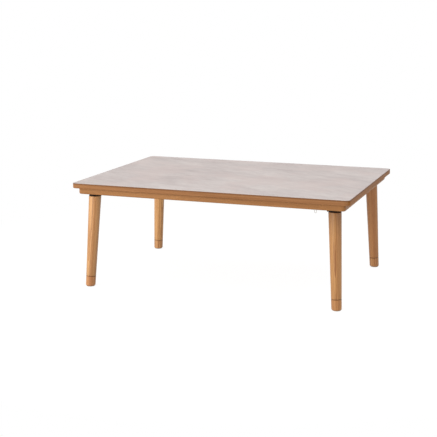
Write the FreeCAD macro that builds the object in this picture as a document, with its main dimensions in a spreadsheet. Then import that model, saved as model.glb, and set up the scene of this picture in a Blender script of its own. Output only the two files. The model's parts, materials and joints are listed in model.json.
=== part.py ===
"""Kotatsu table: a loose top on a thin heated frame with four folding legs.

Millimetres, +Z up. The origin is the centre of the footprint on the floor,
+X runs along the long side and the front is on the -Y side.
"""
import FreeCAD, Part
import os
import Sketcher

Vector = FreeCAD.Vector
Rotation = FreeCAD.Rotation
Placement = FreeCAD.Placement

# Points of an edge, by their index in a sketch constraint
START_INDEX = 1
END_INDEX = 2
CENTRE_INDEX = 3

# Driving dimensions, in millimetres
SIZES = {
    # loose tabletop
    "top_length": "1050",
    "top_depth": "750",
    "top_thickness": "18",
    "top_corner_radius": "18",
    "table_height": "400",
    "top_sheet_thickness": "0.8",
    "edge_band_thickness": "2",
    "edge_band_round": "1.4",
    "top_pad_thickness": "1",
    "top_pad_radius": "9",
    # wooden frame
    "frame_overhang": "18",
    "frame_corner_radius": "14",
    "rail_width": "70",
    "rail_height": "23",
    "rail_lower_round": "5",
    "rail_upper_round": "1.5",
    "dowel_radius": "4",
    "dowel_length": "44",
    "dowel_spacing": "34",
    "crossbar_width": "36",
    "crossbar_height": "15",
    "crossbar_lap": "25",
    # legs and extension feet
    "leg_inset_x": "47",
    "leg_inset_y": "48",
    "leg_splay_x": "19",
    "leg_splay_y": "20.5",
    "leg_top_radius": "23.3",
    "leg_floor_radius": "18.2",
    "leg_top_chamfer": "0.8",
    "foot_height": "40",
    "foot_joint_chamfer": "1.5",
    "foot_rim_round": "2.4",
    "glide_radius": "15.8",
    "glide_thickness": "3",
    "glide_round": "1.8",
    "foot_bolt_radius": "4",
    "foot_bolt_length": "46",
    "foot_bolt_reach": "20",
    "insert_radius": "6",
    "insert_length": "18",
    "insert_flange_radius": "9",
    "insert_flange_thickness": "1.5",
    # folding fittings
    "plate_thickness": "2.5",
    "plate_tail": "68",
    "plate_tail_corner": "6",
    "cup_radius": "23",
    "cup_height": "8.2",
    "cup_wall": "2.2",
    "stud_radius": "4",
    "stud_length": "32",
    "pivot_inset": "22.5",
    "knuckle_radius": "3.7",
    "knuckle_width": "12",
    "ear_width": "5",
    "pivot_pin_radius": "2.2",
    "pivot_pin_head": "1.2",
    "arm_thickness": "3",
    "catch_thickness": "1",
    "catch_width": "11",
    "catch_length": "34",
    "catch_bend_radius": "1",
    "plate_screw_setback": "12",
    "plate_screw_spacing": "30",
    "cup_screw_spacing": "20",
    # countersunk screw
    "screw_radius": "1.9",
    "screw_head_radius": "4",
    "screw_head_height": "2.1",
    "screw_length": "17",
    "crossbar_screw_length": "20",
    # heater
    "heater_corner_radius": "16",
    "heater_sheet": "1.2",
    "heater_bay_setback": "8",
    "heater_bay_gap": "0.6",
    "heater_vent_length": "70",
    "heater_vent_width": "4",
    "heater_vent_pitch": "9",
    "reflector_setback": "2",
    "reflector_sheet": "0.8",
    "trough_radius": "11",
    "tube_spacing": "150",
    "tube_radius": "6",
    "tube_wall": "1",
    "tube_overhang": "12",
    "tube_end_gap": "2",
    "tube_drop": "18",
    "holder_width": "20",
    "holder_thickness": "8",
    "holder_spacing": "196",
    "holder_chin": "4",
    "guard_rim_width": "24",
    "guard_rim_thickness": "1",
    "guard_depth": "45",
    "guard_wire_radius": "1.25",
    "guard_wire_lap": "6",
    "guard_bend_radius": "12",
    "guard_tie_spacing": "88",
    "motor_radius": "28",
    "motor_flange_radius": "34",
    "motor_flange_thickness": "2",
    "motor_height": "12.5",
    "motor_round": "2",
    "fan_shaft_radius": "2",
    "fan_shaft_end": "1",
    "fan_radius": "42",
    "fan_hub_radius": "9",
    "fan_height": "9",
    "fan_gap": "5",
    "fan_blade_thickness": "1.2",
    "fan_root_chord": "7",
    "fan_tip_chord": "24",
    "thermostat_length": "22",
    "thermostat_width": "13",
    "thermostat_height": "9",
    "thermostat_setback": "24",
    "thermostat_tab": "5",
    "inlet_width": "34",
    "inlet_height": "14",
    "inlet_depth": "40",
    "inlet_wall": "2.5",
    "inlet_socket_depth": "16",
    "inlet_pin_radius": "1.6",
    "inlet_pin_spacing": "12",
    "heater_screw_setback": "29",
    "heater_screw_length": "15",
    "pan_head_radius": "4",
    "pan_head_height": "2",
    # cord hook
    "hook_inset": "109",
    "hook_setback": "20",
    "hook_half_width": "3.7",
    "hook_wire_radius": "1.1",
    "hook_drop": "12.7",
    "hook_base_thickness": "2.4",
    "hook_base_length": "28",
    "hook_base_width": "9",
    "hook_screw_offset": "9.4",
    "hook_screw_length": "12",
    # clearances
    "loose_gap": "0.3",
    "fixed_fit": "0.04",
    "running_fit": "0.06",
    "cut_overrun": "2",
}

GUARD_WIRE_COUNT = 13
# Crossing wires are welded with their centres this many radii apart
WELD_SHARE = 1.5
FAN_BLADE_COUNT = 6
HEATER_VENT_COUNT = 9
# Pads on the rails, from the middle towards the frame's ends and its front and back
PAD_LENGTH_SHARE = 0.6
PAD_DEPTH_SHARE = 0.4
CORNERS = {
    "front_left": (-1, -1),
    "front_right": (1, -1),
    "back_left": (-1, 1),
    "back_right": (1, 1),
}


class Size:
    """A length together with the expression that ties it to the sheet."""

    def __init__(self, value, text):
        self.value = float(value)
        self.text = text

    def combine(self, other, sign, result):
        text = other.text if isinstance(other, Size) else repr(other)
        return Size(result, f"({self.text} {sign} {text})")

    def __add__(self, other):
        return self.combine(other, "+", self.value + other.value)

    def __sub__(self, other):
        return self.combine(other, "-", self.value - other.value)

    def __mul__(self, other):
        factor = other.value if isinstance(other, Size) else other
        return self.combine(other, "*", self.value * factor)

    def __truediv__(self, other):
        divisor = other.value if isinstance(other, Size) else other
        return self.combine(other, "/", self.value / divisor)

    def __neg__(self):
        return Size(-self.value, f"(-{self.text})")


doc = FreeCAD.newDocument("kotatsu_table")
sheet = doc.addObject("Spreadsheet::Sheet", "Sizes")
for row, (alias, text) in enumerate(SIZES.items(), start=1):
    sheet.set(f"A{row}", alias)
    sheet.set(f"B{row}", text)
    sheet.setAlias(f"B{row}", alias)
doc.recompute()

ZERO = Size(0, "0")
nodes = []


def size(alias):
    return Size(sheet.get(alias), f"Sizes.{alias}")


def bind(piece, **properties):
    """Tie properties of a piece to sizes."""
    for name, value in properties.items():
        piece.setExpression(name, value.text)


def place(piece, x=ZERO, y=ZERO, z=ZERO, turn=None, axis=Vector(0, 0, 1)):
    """Put a piece at a point, turned by an angle expression about an axis."""
    if turn is not None:
        piece.Placement = Placement(Vector(), Rotation(axis, 1))
        piece.setExpression("Placement.Rotation.Angle", turn)
    piece.setExpression("Placement.Base.x", x.text)
    piece.setExpression("Placement.Base.y", y.text)
    piece.setExpression("Placement.Base.z", z.text)
    return piece


def node(piece, name):
    """Name a piece as a sub-part of the table."""
    piece.Label = name
    nodes.append(piece)
    return piece


def new_body(name):
    return doc.addObject("PartDesign::Body", name)


def origin_part(body, role):
    return next(part for part in body.Origin.OriginFeatures if part.Role == role)


def new_sketch(body, name, role="XY_Plane", level=None):
    sketch = body.newObject("Sketcher::SketchObject", name)
    sketch.AttachmentSupport = (origin_part(body, role), [""])
    sketch.MapMode = "FlatFace"
    if level is not None:
        sketch.setExpression("AttachmentOffset.Base.z", level.text)
    return sketch


def pin_point(sketch, edge, end, x, y):
    """Fix one point of an edge at sizes measured from the sketch's origin."""
    across = sketch.addConstraint(Sketcher.Constraint("DistanceX", edge, end, x.value))
    sketch.setExpression(f"Constraints[{across}]", x.text)
    upward = sketch.addConstraint(Sketcher.Constraint("DistanceY", edge, end, y.value))
    sketch.setExpression(f"Constraints[{upward}]", y.text)


def draw_path(sketch, path, closed=True):
    """Draw edges through the stops of a path.

    A stop is (x, y). Where an arc leaves it, the stop is (x, y, radius, bulge), and
    bulge is 1 for an arc that turns left on its way to the next stop, -1 for right.
    """
    first = sketch.GeometryCount
    edges = len(path) if closed else len(path) - 1
    ends = []
    for index in range(edges):
        here = path[index]
        after = path[(index + 1) % len(path)]
        start = Vector(here[0].value, here[1].value, 0)
        end = Vector(after[0].value, after[1].value, 0)
        if len(here) == 2:
            sketch.addGeometry(Part.LineSegment(start, end))
            ends.append((START_INDEX, END_INDEX))
            continue
        radius, bulge = here[2], here[3]
        chord = end - start
        side = Vector(chord.y, -chord.x, 0).normalize() * bulge
        half = chord.Length / 2
        rise = radius.value - max(radius.value ** 2 - half ** 2, 0) ** 0.5
        middle = (start + end) / 2 + side * rise
        if bulge > 0:
            sketch.addGeometry(Part.Arc(start, middle, end))
            ends.append((START_INDEX, END_INDEX))
        else:
            sketch.addGeometry(Part.Arc(end, middle, start))
            ends.append((END_INDEX, START_INDEX))
        ring = sketch.addConstraint(Sketcher.Constraint("Radius", first + index, radius.value))
        sketch.setExpression(f"Constraints[{ring}]", radius.text)
    for index in range(edges):
        here = path[index]
        pin_point(sketch, first + index, ends[index][0], here[0], here[1])
        if closed or index + 1 < edges:
            after = (index + 1) % edges
            link = Sketcher.Constraint(
                "Coincident", first + index, ends[index][1], first + after, ends[after][0]
            )
            sketch.addConstraint(link)
        else:
            pin_point(sketch, first + index, ends[index][1], path[-1][0], path[-1][1])


def draw_circle(sketch, x, y, radius):
    centre = Vector(x.value, y.value, 0)
    edge = sketch.addGeometry(Part.Circle(centre, Vector(0, 0, 1), radius.value))
    pin_point(sketch, edge, CENTRE_INDEX, x, y)
    ring = sketch.addConstraint(Sketcher.Constraint("Radius", edge, radius.value))
    sketch.setExpression(f"Constraints[{ring}]", radius.text)


def box_path(low_x, low_y, high_x, high_y):
    return [(low_x, low_y), (high_x, low_y), (high_x, high_y), (low_x, high_y)]


def round_box_path(half_x, half_y, radius):
    """A rectangle about the origin with four round corners."""
    in_x = half_x - radius
    in_y = half_y - radius
    return [
        (-in_x, -half_y), (in_x, -half_y, radius, 1),
        (half_x, -in_y), (half_x, in_y, radius, 1),
        (in_x, half_y), (-in_x, half_y, radius, 1),
        (-half_x, in_y), (-half_x, -in_y, radius, 1),
    ]


def pad(body, name, sketch, length, side="One side", backward=False):
    feature = body.newObject("PartDesign::Pad", name)
    feature.Profile = sketch
    feature.SideType = side
    feature.Reversed = backward
    bind(feature, Length=length)
    return feature


def pocket(body, name, sketch, depth, side="One side", backward=False):
    feature = body.newObject("PartDesign::Pocket", name)
    feature.Profile = sketch
    feature.SideType = side
    feature.Reversed = backward
    bind(feature, Length=depth)
    return feature


def revolve(body, name, path):
    """Turn a half profile of (radius, height) stops about the body's Z axis."""
    sketch = new_sketch(body, f"{name}_profile", "XZ_Plane")
    draw_path(sketch, path)
    feature = body.newObject("PartDesign::Revolution", name)
    feature.Profile = sketch
    feature.ReferenceAxis = (sketch, ["V_Axis"])
    return feature


def turned(name, path):
    body = new_body(name)
    revolve(body, f"{name}_turning", path)
    return body


def edge_names(shape, wanted):
    """Names of the edges whose middle point and box pass the test."""
    names = []
    for index, edge in enumerate(shape.Edges, start=1):
        if wanted(edge):
            names.append(f"Edge{index}")
    return names


def lies_at(edge, height):
    box = edge.BoundBox
    return abs(box.ZMin - height) < TOUCH and abs(box.ZMax - height) < TOUCH


def round_edges(body, name, base, radius, wanted, kind="Fillet"):
    doc.recompute()
    feature = body.newObject(f"PartDesign::{kind}", name)
    feature.Base = (base, edge_names(base.Shape, wanted))
    if kind == "Fillet":
        bind(feature, Radius=radius)
    else:
        bind(feature, Size=radius)
    return feature


def copies(name, master, places):
    """One sub-part made of copies of a master, each at (x, y, z, turn)."""
    links = []
    for index, (x, y, z, turn) in enumerate(places, start=1):
        link = doc.addObject("App::Link", f"{name}_{index}")
        link.LinkedObject = master
        link.LinkTransform = True
        place(link, x, y, z, turn)
        links.append(link)
    group = doc.addObject("Part::Compound", name)
    group.Links = links
    return node(group, name)


def side_of(sign, value):
    return value if sign > 0 else -value


# Shared levels and centres
TOUCH = 0.01
loose = size("loose_gap")
fixed = size("fixed_fit")
overrun = size("cut_overrun")
top_low = size("table_height") - size("top_thickness")
rail_top = top_low - size("top_pad_thickness")
rail_low = rail_top - size("rail_height")
frame_half_x = size("top_length") / 2 - size("frame_overhang")
frame_half_y = size("top_depth") / 2 - size("frame_overhang")
rail_in_x = frame_half_x - size("rail_width")
rail_in_y = frame_half_y - size("rail_width")
leg_x = frame_half_x - size("leg_inset_x")
leg_y = frame_half_y - size("leg_inset_y")
foot_x = leg_x + size("leg_splay_x")
foot_y = leg_y + size("leg_splay_y")
cup_top = rail_low - size("plate_thickness") - loose
cup_low = cup_top - size("cup_height")
# The heater is sized outward from its tube holders, up to the rim under the crossbars
holder_half = size("holder_spacing") / 2
tube_half = holder_half + size("tube_overhang")
bay_half = tube_half + size("tube_end_gap")
crossbar_x = bay_half + size("heater_bay_setback") + size("crossbar_width") / 2
heater_half = crossbar_x + size("guard_rim_width") / 2
guard_opening_half = heater_half - size("guard_rim_width")
heater_screw_y = heater_half - size("heater_screw_setback")
crossbar_low = rail_top - size("crossbar_height")
crossbar_half = rail_in_y + size("crossbar_lap")
hook_x = frame_half_x - size("hook_inset")


def round_plate(name, half_x, half_y, corner, thickness):
    body = new_body(name)
    sketch = new_sketch(body, f"{name}_outline")
    draw_path(sketch, round_box_path(half_x, half_y, corner))
    pad(body, f"{name}_pad", sketch, thickness)
    return body


def make_tabletop():
    half_x = size("top_length") / 2
    half_y = size("top_depth") / 2
    corner = size("top_corner_radius")
    band = size("edge_band_thickness")
    skin = size("top_sheet_thickness")
    inner = (half_x - band, half_y - band, corner - band)
    core_thickness = size("top_thickness") - skin - skin
    backing = node(round_plate("tabletop_backing", *inner, skin), "tabletop_backing")
    place(backing, z=top_low)
    core = node(round_plate("tabletop_core", *inner, core_thickness), "tabletop_core")
    place(core, z=top_low + skin)
    face = node(round_plate("tabletop_face", *inner, skin), "tabletop_face")
    place(face, z=size("table_height") - skin)

    ring = new_body("tabletop_edge_band")
    sketch = new_sketch(ring, "edge_band_outline")
    draw_path(sketch, round_box_path(half_x, half_y, corner))
    draw_path(sketch, round_box_path(*inner))
    strip = pad(ring, "edge_band_strip", sketch, size("top_thickness"))
    doc.recompute()

    def outer_rim(edge):
        box = strip.Shape.BoundBox
        flat = lies_at(edge, box.ZMin) or lies_at(edge, box.ZMax)
        middle = edge.valueAt((edge.FirstParameter + edge.LastParameter) / 2)
        inside = abs(middle.x) < inner[0].value + TOUCH and abs(middle.y) < inner[1].value + TOUCH
        corner_out = edge.Curve.TypeId == "Part::GeomCircle" and edge.Curve.Radius > inner[2].value + TOUCH
        straight_in = edge.Curve.TypeId != "Part::GeomCircle" and inside
        arc_in = edge.Curve.TypeId == "Part::GeomCircle" and not corner_out
        return flat and not straight_in and not arc_in

    round_edges(ring, "edge_band_rounding", strip, size("edge_band_round"), outer_rim)
    place(node(ring, "tabletop_edge_band"), z=top_low)


def make_long_rail(name, front):
    """Front or back rail, which holds the round corners, laps and leg plates."""
    width = size("rail_width")
    corner = size("frame_corner_radius")
    height = size("rail_height")
    body = new_body(name)
    sketch = new_sketch(body, f"{name}_outline")
    draw_path(sketch, [
        (-frame_half_x, width), (-frame_half_x, corner, corner, 1),
        (corner - frame_half_x, ZERO), (frame_half_x - corner, ZERO, corner, 1),
        (frame_half_x, corner), (frame_half_x, width),
    ])
    bar = pad(body, f"{name}_bar", sketch, height)
    doc.recompute()

    def outer(edge, level):
        box = edge.BoundBox
        return lies_at(edge, level) and box.YMin < width.value - TOUCH

    low = round_edges(body, f"{name}_low_rounding", bar, size("rail_lower_round"),
                      lambda edge: outer(edge, 0))
    high = round_edges(body, f"{name}_top_rounding", low, size("rail_upper_round"),
                       lambda edge: outer(edge, height.value))

    laps = new_sketch(body, f"{name}_laps", level=height)
    half = size("crossbar_width") / 2 + fixed
    for centre in (-crossbar_x, crossbar_x):
        draw_path(laps, box_path(centre - half, width - size("crossbar_lap") - fixed,
                                 centre + half, width + overrun))
    pocket(body, f"{name}_lap_cuts", laps, size("crossbar_height"))

    bores = new_sketch(body, f"{name}_dowel_bores", "XZ_Plane", level=-width)
    for sign in (-1, 1):
        for shift in (-1, 1):
            centre = dowel_x(sign, shift)
            draw_circle(bores, centre, height / 2, size("dowel_radius") + fixed)
    pocket(body, f"{name}_dowel_holes", bores, size("dowel_length") / 2 + fixed, backward=True)

    pilots = new_sketch(body, f"{name}_plate_pilots")
    for sign in (-1, 1):
        for along, across in plate_screw_spots():
            centre = side_of(sign, leg_x + along)
            draw_circle(pilots, centre, size("leg_inset_y") + across, size("screw_radius") + fixed)
    pocket(body, f"{name}_plate_holes", pilots, size("screw_length"), backward=True)

    lap_pilots = new_sketch(body, f"{name}_lap_pilots", level=height - size("crossbar_height"))
    for centre in (-crossbar_x, crossbar_x):
        draw_circle(lap_pilots, centre, width - size("crossbar_lap") / 2,
                    size("screw_radius") + fixed)
    pocket(body, f"{name}_lap_holes", lap_pilots,
           size("crossbar_screw_length") - size("crossbar_height") + fixed)

    if front:
        hook_pilots = new_sketch(body, f"{name}_hook_pilots")
        for sign in (-1, 1):
            draw_circle(hook_pilots, hook_x + side_of(sign, size("hook_screw_offset")),
                        size("hook_setback"), size("screw_radius") + fixed)
        pocket(body, f"{name}_hook_holes", hook_pilots, size("hook_screw_length"), backward=True)
        place(body, y=-frame_half_y, z=rail_low)
    else:
        place(body, y=frame_half_y, z=rail_low, turn="180 deg")
    node(body, name)


def dowel_x(sign, shift):
    """Distance of a dowel along the long rails from the table's centre."""
    centre = frame_half_x - size("rail_width") / 2
    return side_of(sign, centre + side_of(shift, size("dowel_spacing") / 2))


def make_side_rail(name, sign):
    """Short rail between the long ones, butted and dowelled to them."""
    width = size("rail_width")
    height = size("rail_height")
    body = new_body(name)
    sketch = new_sketch(body, f"{name}_outline")
    draw_path(sketch, box_path(ZERO, -rail_in_y, width, rail_in_y))
    bar = pad(body, f"{name}_bar", sketch, height)
    doc.recompute()

    def outer(edge, level):
        return lies_at(edge, level) and edge.BoundBox.XMin > width.value - TOUCH

    low = round_edges(body, f"{name}_low_rounding", bar, size("rail_lower_round"),
                      lambda edge: outer(edge, 0))
    round_edges(body, f"{name}_top_rounding", low, size("rail_upper_round"),
                lambda edge: outer(edge, height.value))
    for end, level, backward in (("front", rail_in_y, False), ("back", -rail_in_y, True)):
        bores = new_sketch(body, f"{name}_{end}_bores", "XZ_Plane", level=level)
        for shift in (-1, 1):
            along = width / 2 + side_of(shift, size("dowel_spacing") / 2)
            draw_circle(bores, along, height / 2, size("dowel_radius") + fixed)
        pocket(body, f"{name}_{end}_holes", bores, size("dowel_length") / 2 + fixed,
               backward=backward)
    turn = None if sign > 0 else "180 deg"
    place(body, x=side_of(sign, rail_in_x), z=rail_low, turn=turn)
    node(body, name)


def make_dowels():
    half = size("dowel_length") / 2
    radius = size("dowel_radius")
    dowel = new_body("dowel")
    sketch = new_sketch(dowel, "dowel_end", "XZ_Plane")
    draw_circle(sketch, ZERO, ZERO, radius)
    pad(dowel, "dowel_pad", sketch, half + half, side="Symmetric")
    places = []
    for sign in (-1, 1):
        for shift in (-1, 1):
            for end in (-1, 1):
                y = side_of(end, rail_in_y)
                places.append((dowel_x(sign, shift), y, rail_low + size("rail_height") / 2, None))
    copies("frame_dowels", dowel, places)


def countersunk_screw(name, length):
    """Screw with its flat head at Z = 0 and its shank pointing up."""
    shank = size("screw_radius")
    tip = shank / 2
    return turned(name, [
        (ZERO, ZERO), (size("screw_head_radius"), ZERO), (shank, size("screw_head_height")),
        (shank, length - shank), (tip, length), (ZERO, length),
    ])


def make_crossbars():
    half = size("crossbar_width") / 2
    height = size("crossbar_height")
    for name, sign in (("left_crossbar", -1), ("right_crossbar", 1)):
        body = new_body(name)
        sketch = new_sketch(body, f"{name}_outline")
        draw_path(sketch, box_path(-half, -crossbar_half, half, crossbar_half))
        pad(body, f"{name}_bar", sketch, height)
        tops = new_sketch(body, f"{name}_screw_tops", level=height)
        for end in (-1, 1):
            y = side_of(end, crossbar_half - size("crossbar_lap") / 2)
            draw_circle(tops, ZERO, y, size("screw_radius") + fixed)
        holes = pocket(body, f"{name}_screw_holes", tops, height)
        countersink(body, name, holes, height.value)
        unders = new_sketch(body, f"{name}_heater_pilots")
        for end in (-1, 1):
            y = side_of(end, heater_screw_y)
            draw_circle(unders, ZERO, y, size("screw_radius") + fixed)
        pocket(body, f"{name}_heater_holes", unders, height - overrun, backward=True)
        place(body, x=side_of(sign, crossbar_x), z=crossbar_low)
        node(body, name)

    screw = countersunk_screw("crossbar_screw", size("crossbar_screw_length"))
    head_up = doc.addObject("Part::Compound", "crossbar_screw_head_up")
    head_up.Links = [screw]
    place(head_up, turn="180 deg", axis=Vector(1, 0, 0))
    places = []
    for x in (-crossbar_x, crossbar_x):
        for end in (-1, 1):
            y = side_of(end, crossbar_half - size("crossbar_lap") / 2)
            places.append((x, y, rail_top, None))
    copies("crossbar_screws", head_up, places)


def countersink(body, name, base, level):
    """Widen the screw holes at one level to the screw's head."""
    hole = size("screw_radius") + fixed
    doc.recompute()

    def mouth(edge):
        round_edge = edge.Curve.TypeId == "Part::GeomCircle"
        return lies_at(edge, level) and round_edge and abs(edge.Curve.Radius - hole.value) < TOUCH

    feature = body.newObject("PartDesign::Chamfer", f"{name}_countersinks")
    feature.Base = (base, edge_names(base.Shape, mouth))
    feature.ChamferType = "Two distances"
    bind(feature, Size=size("screw_head_radius") - size("screw_radius") + fixed,
         Size2=size("screw_head_height") + fixed)
    feature.FlipDirection = False
    return feature


def make_top_pads():
    """Soft pads on the rails that the loose tabletop rests on."""
    radius = size("top_pad_radius")
    thickness = size("top_pad_thickness")
    button = turned("top_pad", [
        (ZERO, ZERO), (radius, ZERO), (radius, thickness / 2),
        (radius - thickness / 2, thickness), (ZERO, thickness),
    ])
    along = frame_half_x * PAD_LENGTH_SHARE
    across = frame_half_y * PAD_DEPTH_SHARE
    side = frame_half_x - size("rail_width") / 2
    depth = frame_half_y - size("rail_width") / 2
    places = []
    for sign in (-1, 1):
        for end in (-1, 1):
            places.append((side_of(sign, along), side_of(end, depth), rail_top, None))
            places.append((side_of(sign, side), side_of(end, across), rail_top, None))
    copies("tabletop_pads", button, places)


# Legs stand in their own frame: the foot at the origin, leaning out along +X
lean = (size("leg_splay_x") * size("leg_splay_x") + size("leg_splay_y") * size("leg_splay_y"))
lean_angle = f"-atan(sqrt{lean.text} / {rail_low.text})"
# The leg's top centre lies this far inward of its foot
lean_out = Size(lean.value ** 0.5, f"sqrt{lean.text}")


def corner_turn(sign_x, sign_y):
    """Angle that turns +X to the way a corner's leg leans."""
    base = "atan2(Sizes.leg_splay_y; Sizes.leg_splay_x)"
    return {
        (1, 1): base,
        (-1, 1): f"180 deg - {base}",
        (-1, -1): f"180 deg + {base}",
        (1, -1): f"-{base}",
    }[(sign_x, sign_y)]


def cone_radius(height):
    """Radius of the leg's cone at a distance up its axis."""
    rise = size("leg_top_radius") - size("leg_floor_radius")
    return size("leg_floor_radius") + rise * height / rail_low


def tilted(piece):
    return place(piece, turn=lean_angle, axis=Vector(0, 1, 0))


def boolean(kind, name, base, tool):
    feature = doc.addObject(f"Part::{kind}", name)
    feature.Base = base
    feature.Tool = tool
    return feature


def make_leg_master():
    joint = size("foot_height")
    chamfer = size("foot_joint_chamfer")
    flange = size("insert_flange_radius") + fixed
    flange_top = joint + size("insert_flange_thickness") + fixed
    insert = size("insert_radius") + fixed
    insert_top = joint + size("insert_length") + fixed
    drill = size("foot_bolt_radius") + size("running_fit") + fixed
    drill_top = insert_top + size("foot_bolt_radius")
    blank_top = rail_low + size("cup_height")
    blank = turned("leg_blank", [
        (flange, joint), (cone_radius(joint) - chamfer, joint),
        (cone_radius(joint), joint + chamfer), (cone_radius(blank_top), blank_top),
        (ZERO, blank_top), (ZERO, drill_top), (drill, drill_top - drill / 2), (drill, insert_top),
        (insert, insert_top), (insert, flange_top), (flange, flange_top),
    ])
    tilted(blank)
    trim = doc.addObject("Part::Box", "leg_level_cut")
    side = (lean_out + size("leg_top_radius") + overrun) * 2
    bind(trim, Length=side, Width=side, Height=side)
    place(trim, x=-side / 2, y=-side / 2, z=cup_low)
    levelled = boolean("Cut", "leg_levelled", blank, trim)
    hole = doc.addObject("Part::Cylinder", "leg_stud_hole")
    reach = size("stud_length") + overrun
    bind(hole, Radius=size("stud_radius") + fixed, Height=reach + overrun)
    place(hole, x=-lean_out, z=cup_low - reach)
    drilled = boolean("Cut", "leg_drilled", levelled, hole)
    doc.recompute()
    rim = []
    for index, edge in enumerate(drilled.Shape.Edges, start=1):
        outer = edge.BoundBox.XLength > size("leg_top_radius").value
        if lies_at(edge, cup_low.value) and outer:
            rim.append((index, size("leg_top_chamfer").value, size("leg_top_chamfer").value))
    chamfered = doc.addObject("Part::Chamfer", "leg_form")
    chamfered.Base = drilled
    chamfered.Edges = rim
    return chamfered


def make_foot_master():
    joint = size("foot_height")
    chamfer = size("foot_joint_chamfer")
    bolt = size("foot_bolt_radius") + fixed
    depth = joint - size("foot_bolt_length") + size("foot_bolt_reach") - overrun
    below = -size("leg_floor_radius") / 2
    blank = turned("foot_blank", [
        (ZERO, below), (cone_radius(below), below), (cone_radius(joint), joint - chamfer),
        (cone_radius(joint) - chamfer, joint), (bolt, joint), (bolt, depth), (ZERO, depth),
    ])
    tilted(blank)
    trim = doc.addObject("Part::Box", "foot_level_cut")
    side = (size("leg_floor_radius") + overrun) * 2
    bind(trim, Length=side, Width=side, Height=side)
    place(trim, x=-side / 2, y=-side / 2, z=size("glide_thickness") - side)
    levelled = boolean("Cut", "foot_levelled", blank, trim)
    doc.recompute()
    rim = []
    for index, edge in enumerate(levelled.Shape.Edges, start=1):
        if lies_at(edge, size("glide_thickness").value):
            rim.append((index, size("foot_rim_round").value, size("foot_rim_round").value))
    rounded = doc.addObject("Part::Fillet", "foot_form")
    rounded.Base = levelled
    rounded.Edges = rim
    return rounded


def make_insert_master():
    joint = size("foot_height")
    bore = size("foot_bolt_radius") + size("running_fit")
    flange_top = joint + size("insert_flange_thickness")
    top = joint + size("insert_length")
    nut = turned("insert_turning", [
        (bore, joint), (size("insert_flange_radius"), joint),
        (size("insert_flange_radius"), flange_top), (size("insert_radius"), flange_top),
        (size("insert_radius"), top), (bore, top),
    ])
    return tilted(nut)


def make_bolt_master():
    radius = size("foot_bolt_radius")
    top = size("foot_height") + size("foot_bolt_reach")
    low = top - size("foot_bolt_length")
    bolt = turned("bolt_turning", [
        (ZERO, low), (radius / 2, low), (radius, low + radius), (radius, top - radius / 2),
        (radius - radius / 4, top), (ZERO, top),
    ])
    return tilted(bolt)


def make_glide_master():
    radius = size("glide_radius")
    thickness = size("glide_thickness")
    bend = size("glide_round")
    return turned("glide_turning", [
        (ZERO, ZERO), (radius - bend, ZERO, bend, 1), (radius, bend),
        (radius, thickness), (ZERO, thickness),
    ])


def plate_screw_spots():
    """Plate screws from the leg's centre: two under the cup and two at the tail."""
    tail = size("plate_screw_setback") - size("plate_tail")
    outer = size("cup_radius") / 2
    spots = []
    for sign in (-1, 1):
        spots.append((outer, side_of(sign, size("cup_screw_spacing") / 2)))
        spots.append((tail, side_of(sign, size("plate_screw_spacing") / 2)))
    return spots


def make_plate_master():
    """Base plate with two ears, drawn under the rail with the leg's centre at 0, 0."""
    thick = size("plate_thickness")
    half = size("cup_radius")
    tail = -size("plate_tail")
    corner = size("plate_tail_corner")
    knuckle = size("knuckle_radius")
    pivot_x = -size("pivot_inset")
    pivot_z = -thick - loose - knuckle
    ear_in = size("knuckle_width") / 2 + loose
    body = new_body("base_plate_form")
    outline = new_sketch(body, "base_plate_outline")
    draw_path(outline, [
        (tail + corner, -half), (ZERO, -half, half, 1), (half, ZERO, half, 1),
        (ZERO, half), (tail + corner, half, corner, 1), (tail, half - corner),
        (tail, corner - half, corner, 1),
    ])
    pad(body, "base_plate_sheet", outline, thick, backward=True)
    for name, low in (("near", ear_in), ("far", -ear_in - size("ear_width"))):
        ear = new_sketch(body, f"base_plate_{name}_ear", "XZ_Plane", level=low)
        draw_path(ear, [
            (pivot_x - knuckle, -thick), (pivot_x - knuckle, pivot_z, knuckle, 1),
            (pivot_x, pivot_z - knuckle, knuckle, 1), (pivot_x + knuckle, pivot_z),
            (pivot_x + knuckle, -thick),
        ])
        pad(body, f"base_plate_{name}_knuckle", ear, size("ear_width"))
    bore = new_sketch(body, "base_plate_bore", "XZ_Plane")
    draw_circle(bore, pivot_x, pivot_z, size("pivot_pin_radius") + fixed)
    pocket(body, "base_plate_pin_hole", bore, half * 2, side="Symmetric")
    screws = new_sketch(body, "base_plate_screw_spots")
    for along, across in plate_screw_spots():
        draw_circle(screws, along, across, size("screw_radius") + fixed)
    holes = pocket(body, "base_plate_screw_holes", screws, thick)
    countersink(body, "base_plate", holes, -thick.value)
    return body


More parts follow.
